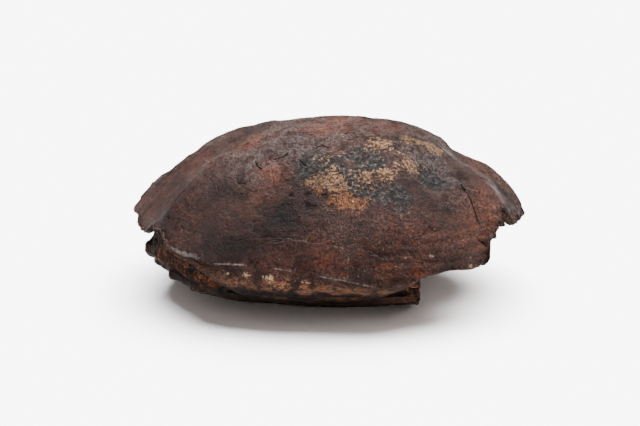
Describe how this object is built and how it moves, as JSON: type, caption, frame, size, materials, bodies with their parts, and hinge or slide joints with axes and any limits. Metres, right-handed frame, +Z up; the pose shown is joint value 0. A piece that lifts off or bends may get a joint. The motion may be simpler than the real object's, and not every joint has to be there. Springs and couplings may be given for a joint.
{
  "type": "ancient turtle shell",
  "caption": "Domed ancient turtle shell: carapace joined by bridges to the plastron it rests on, packed with hardened earth in front and hollow under its broken rear edge.",
  "frame": {"origin": "centre of the bounding box, at the level the plastron rests on", "axes": "+X towards the tail end, +Z up; the side seen in the picture is -Y"},
  "size_m": [0.143, 0.104, 0.064],
  "materials": {
    "carapace_bone": "dark red-brown mineralised bone, worn and faintly glossy, with ochre and grey patches",
    "plastron_bone": "very dark brown mineralised bone with orange earth stains",
    "hardened_earth": "rough matt orange-brown earth"
  },
  "bodies": {
    "root": {"carapace": "carapace_bone", "plastron": "plastron_bone", "earth_fill": "hardened_earth"}
  },
  "joints": []
}
